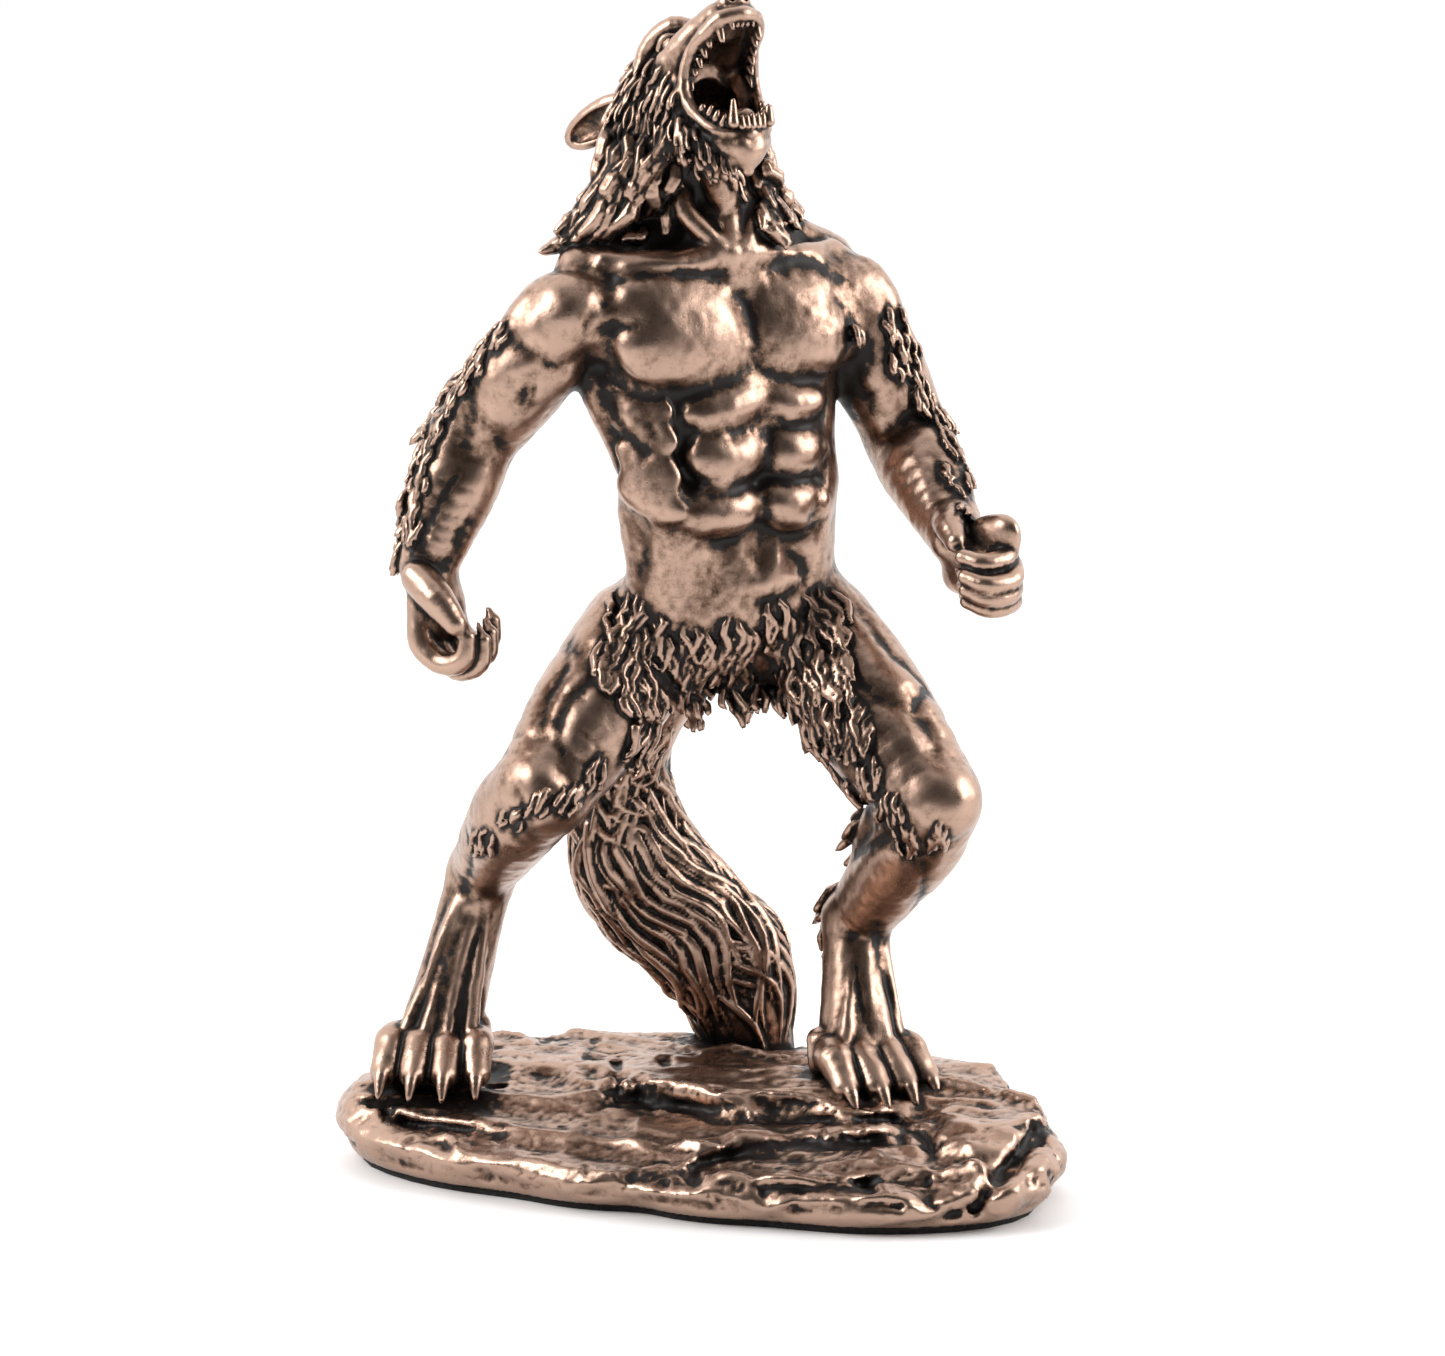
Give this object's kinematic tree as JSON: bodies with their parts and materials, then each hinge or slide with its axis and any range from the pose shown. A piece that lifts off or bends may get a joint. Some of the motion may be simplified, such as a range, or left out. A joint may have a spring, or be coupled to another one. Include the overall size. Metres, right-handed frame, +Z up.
{
  "type": "werewolf figurine",
  "caption": "Howling werewolf with a long tail, standing wide-legged on a low boulder, in dark rubbed cast bronze, with a felt pad underneath.",
  "frame": {"origin": "middle of the underside's height, under the middle of the whole figure in plan, on the table", "axes": "+Z up, -Y towards the side the picture shows, +X to the viewer's right"},
  "size_m": [0.1405, 0.0956, 0.2307],
  "materials": {
    "cold_cast_bronze": "dark brown patina rubbed bright on the high places",
    "black_felt": "fuzzy felt"
  },
  "bodies": {
    "root": {"werewolf_on_rock": "cold_cast_bronze", "felt_pad": "black_felt"}
  },
  "joints": []
}
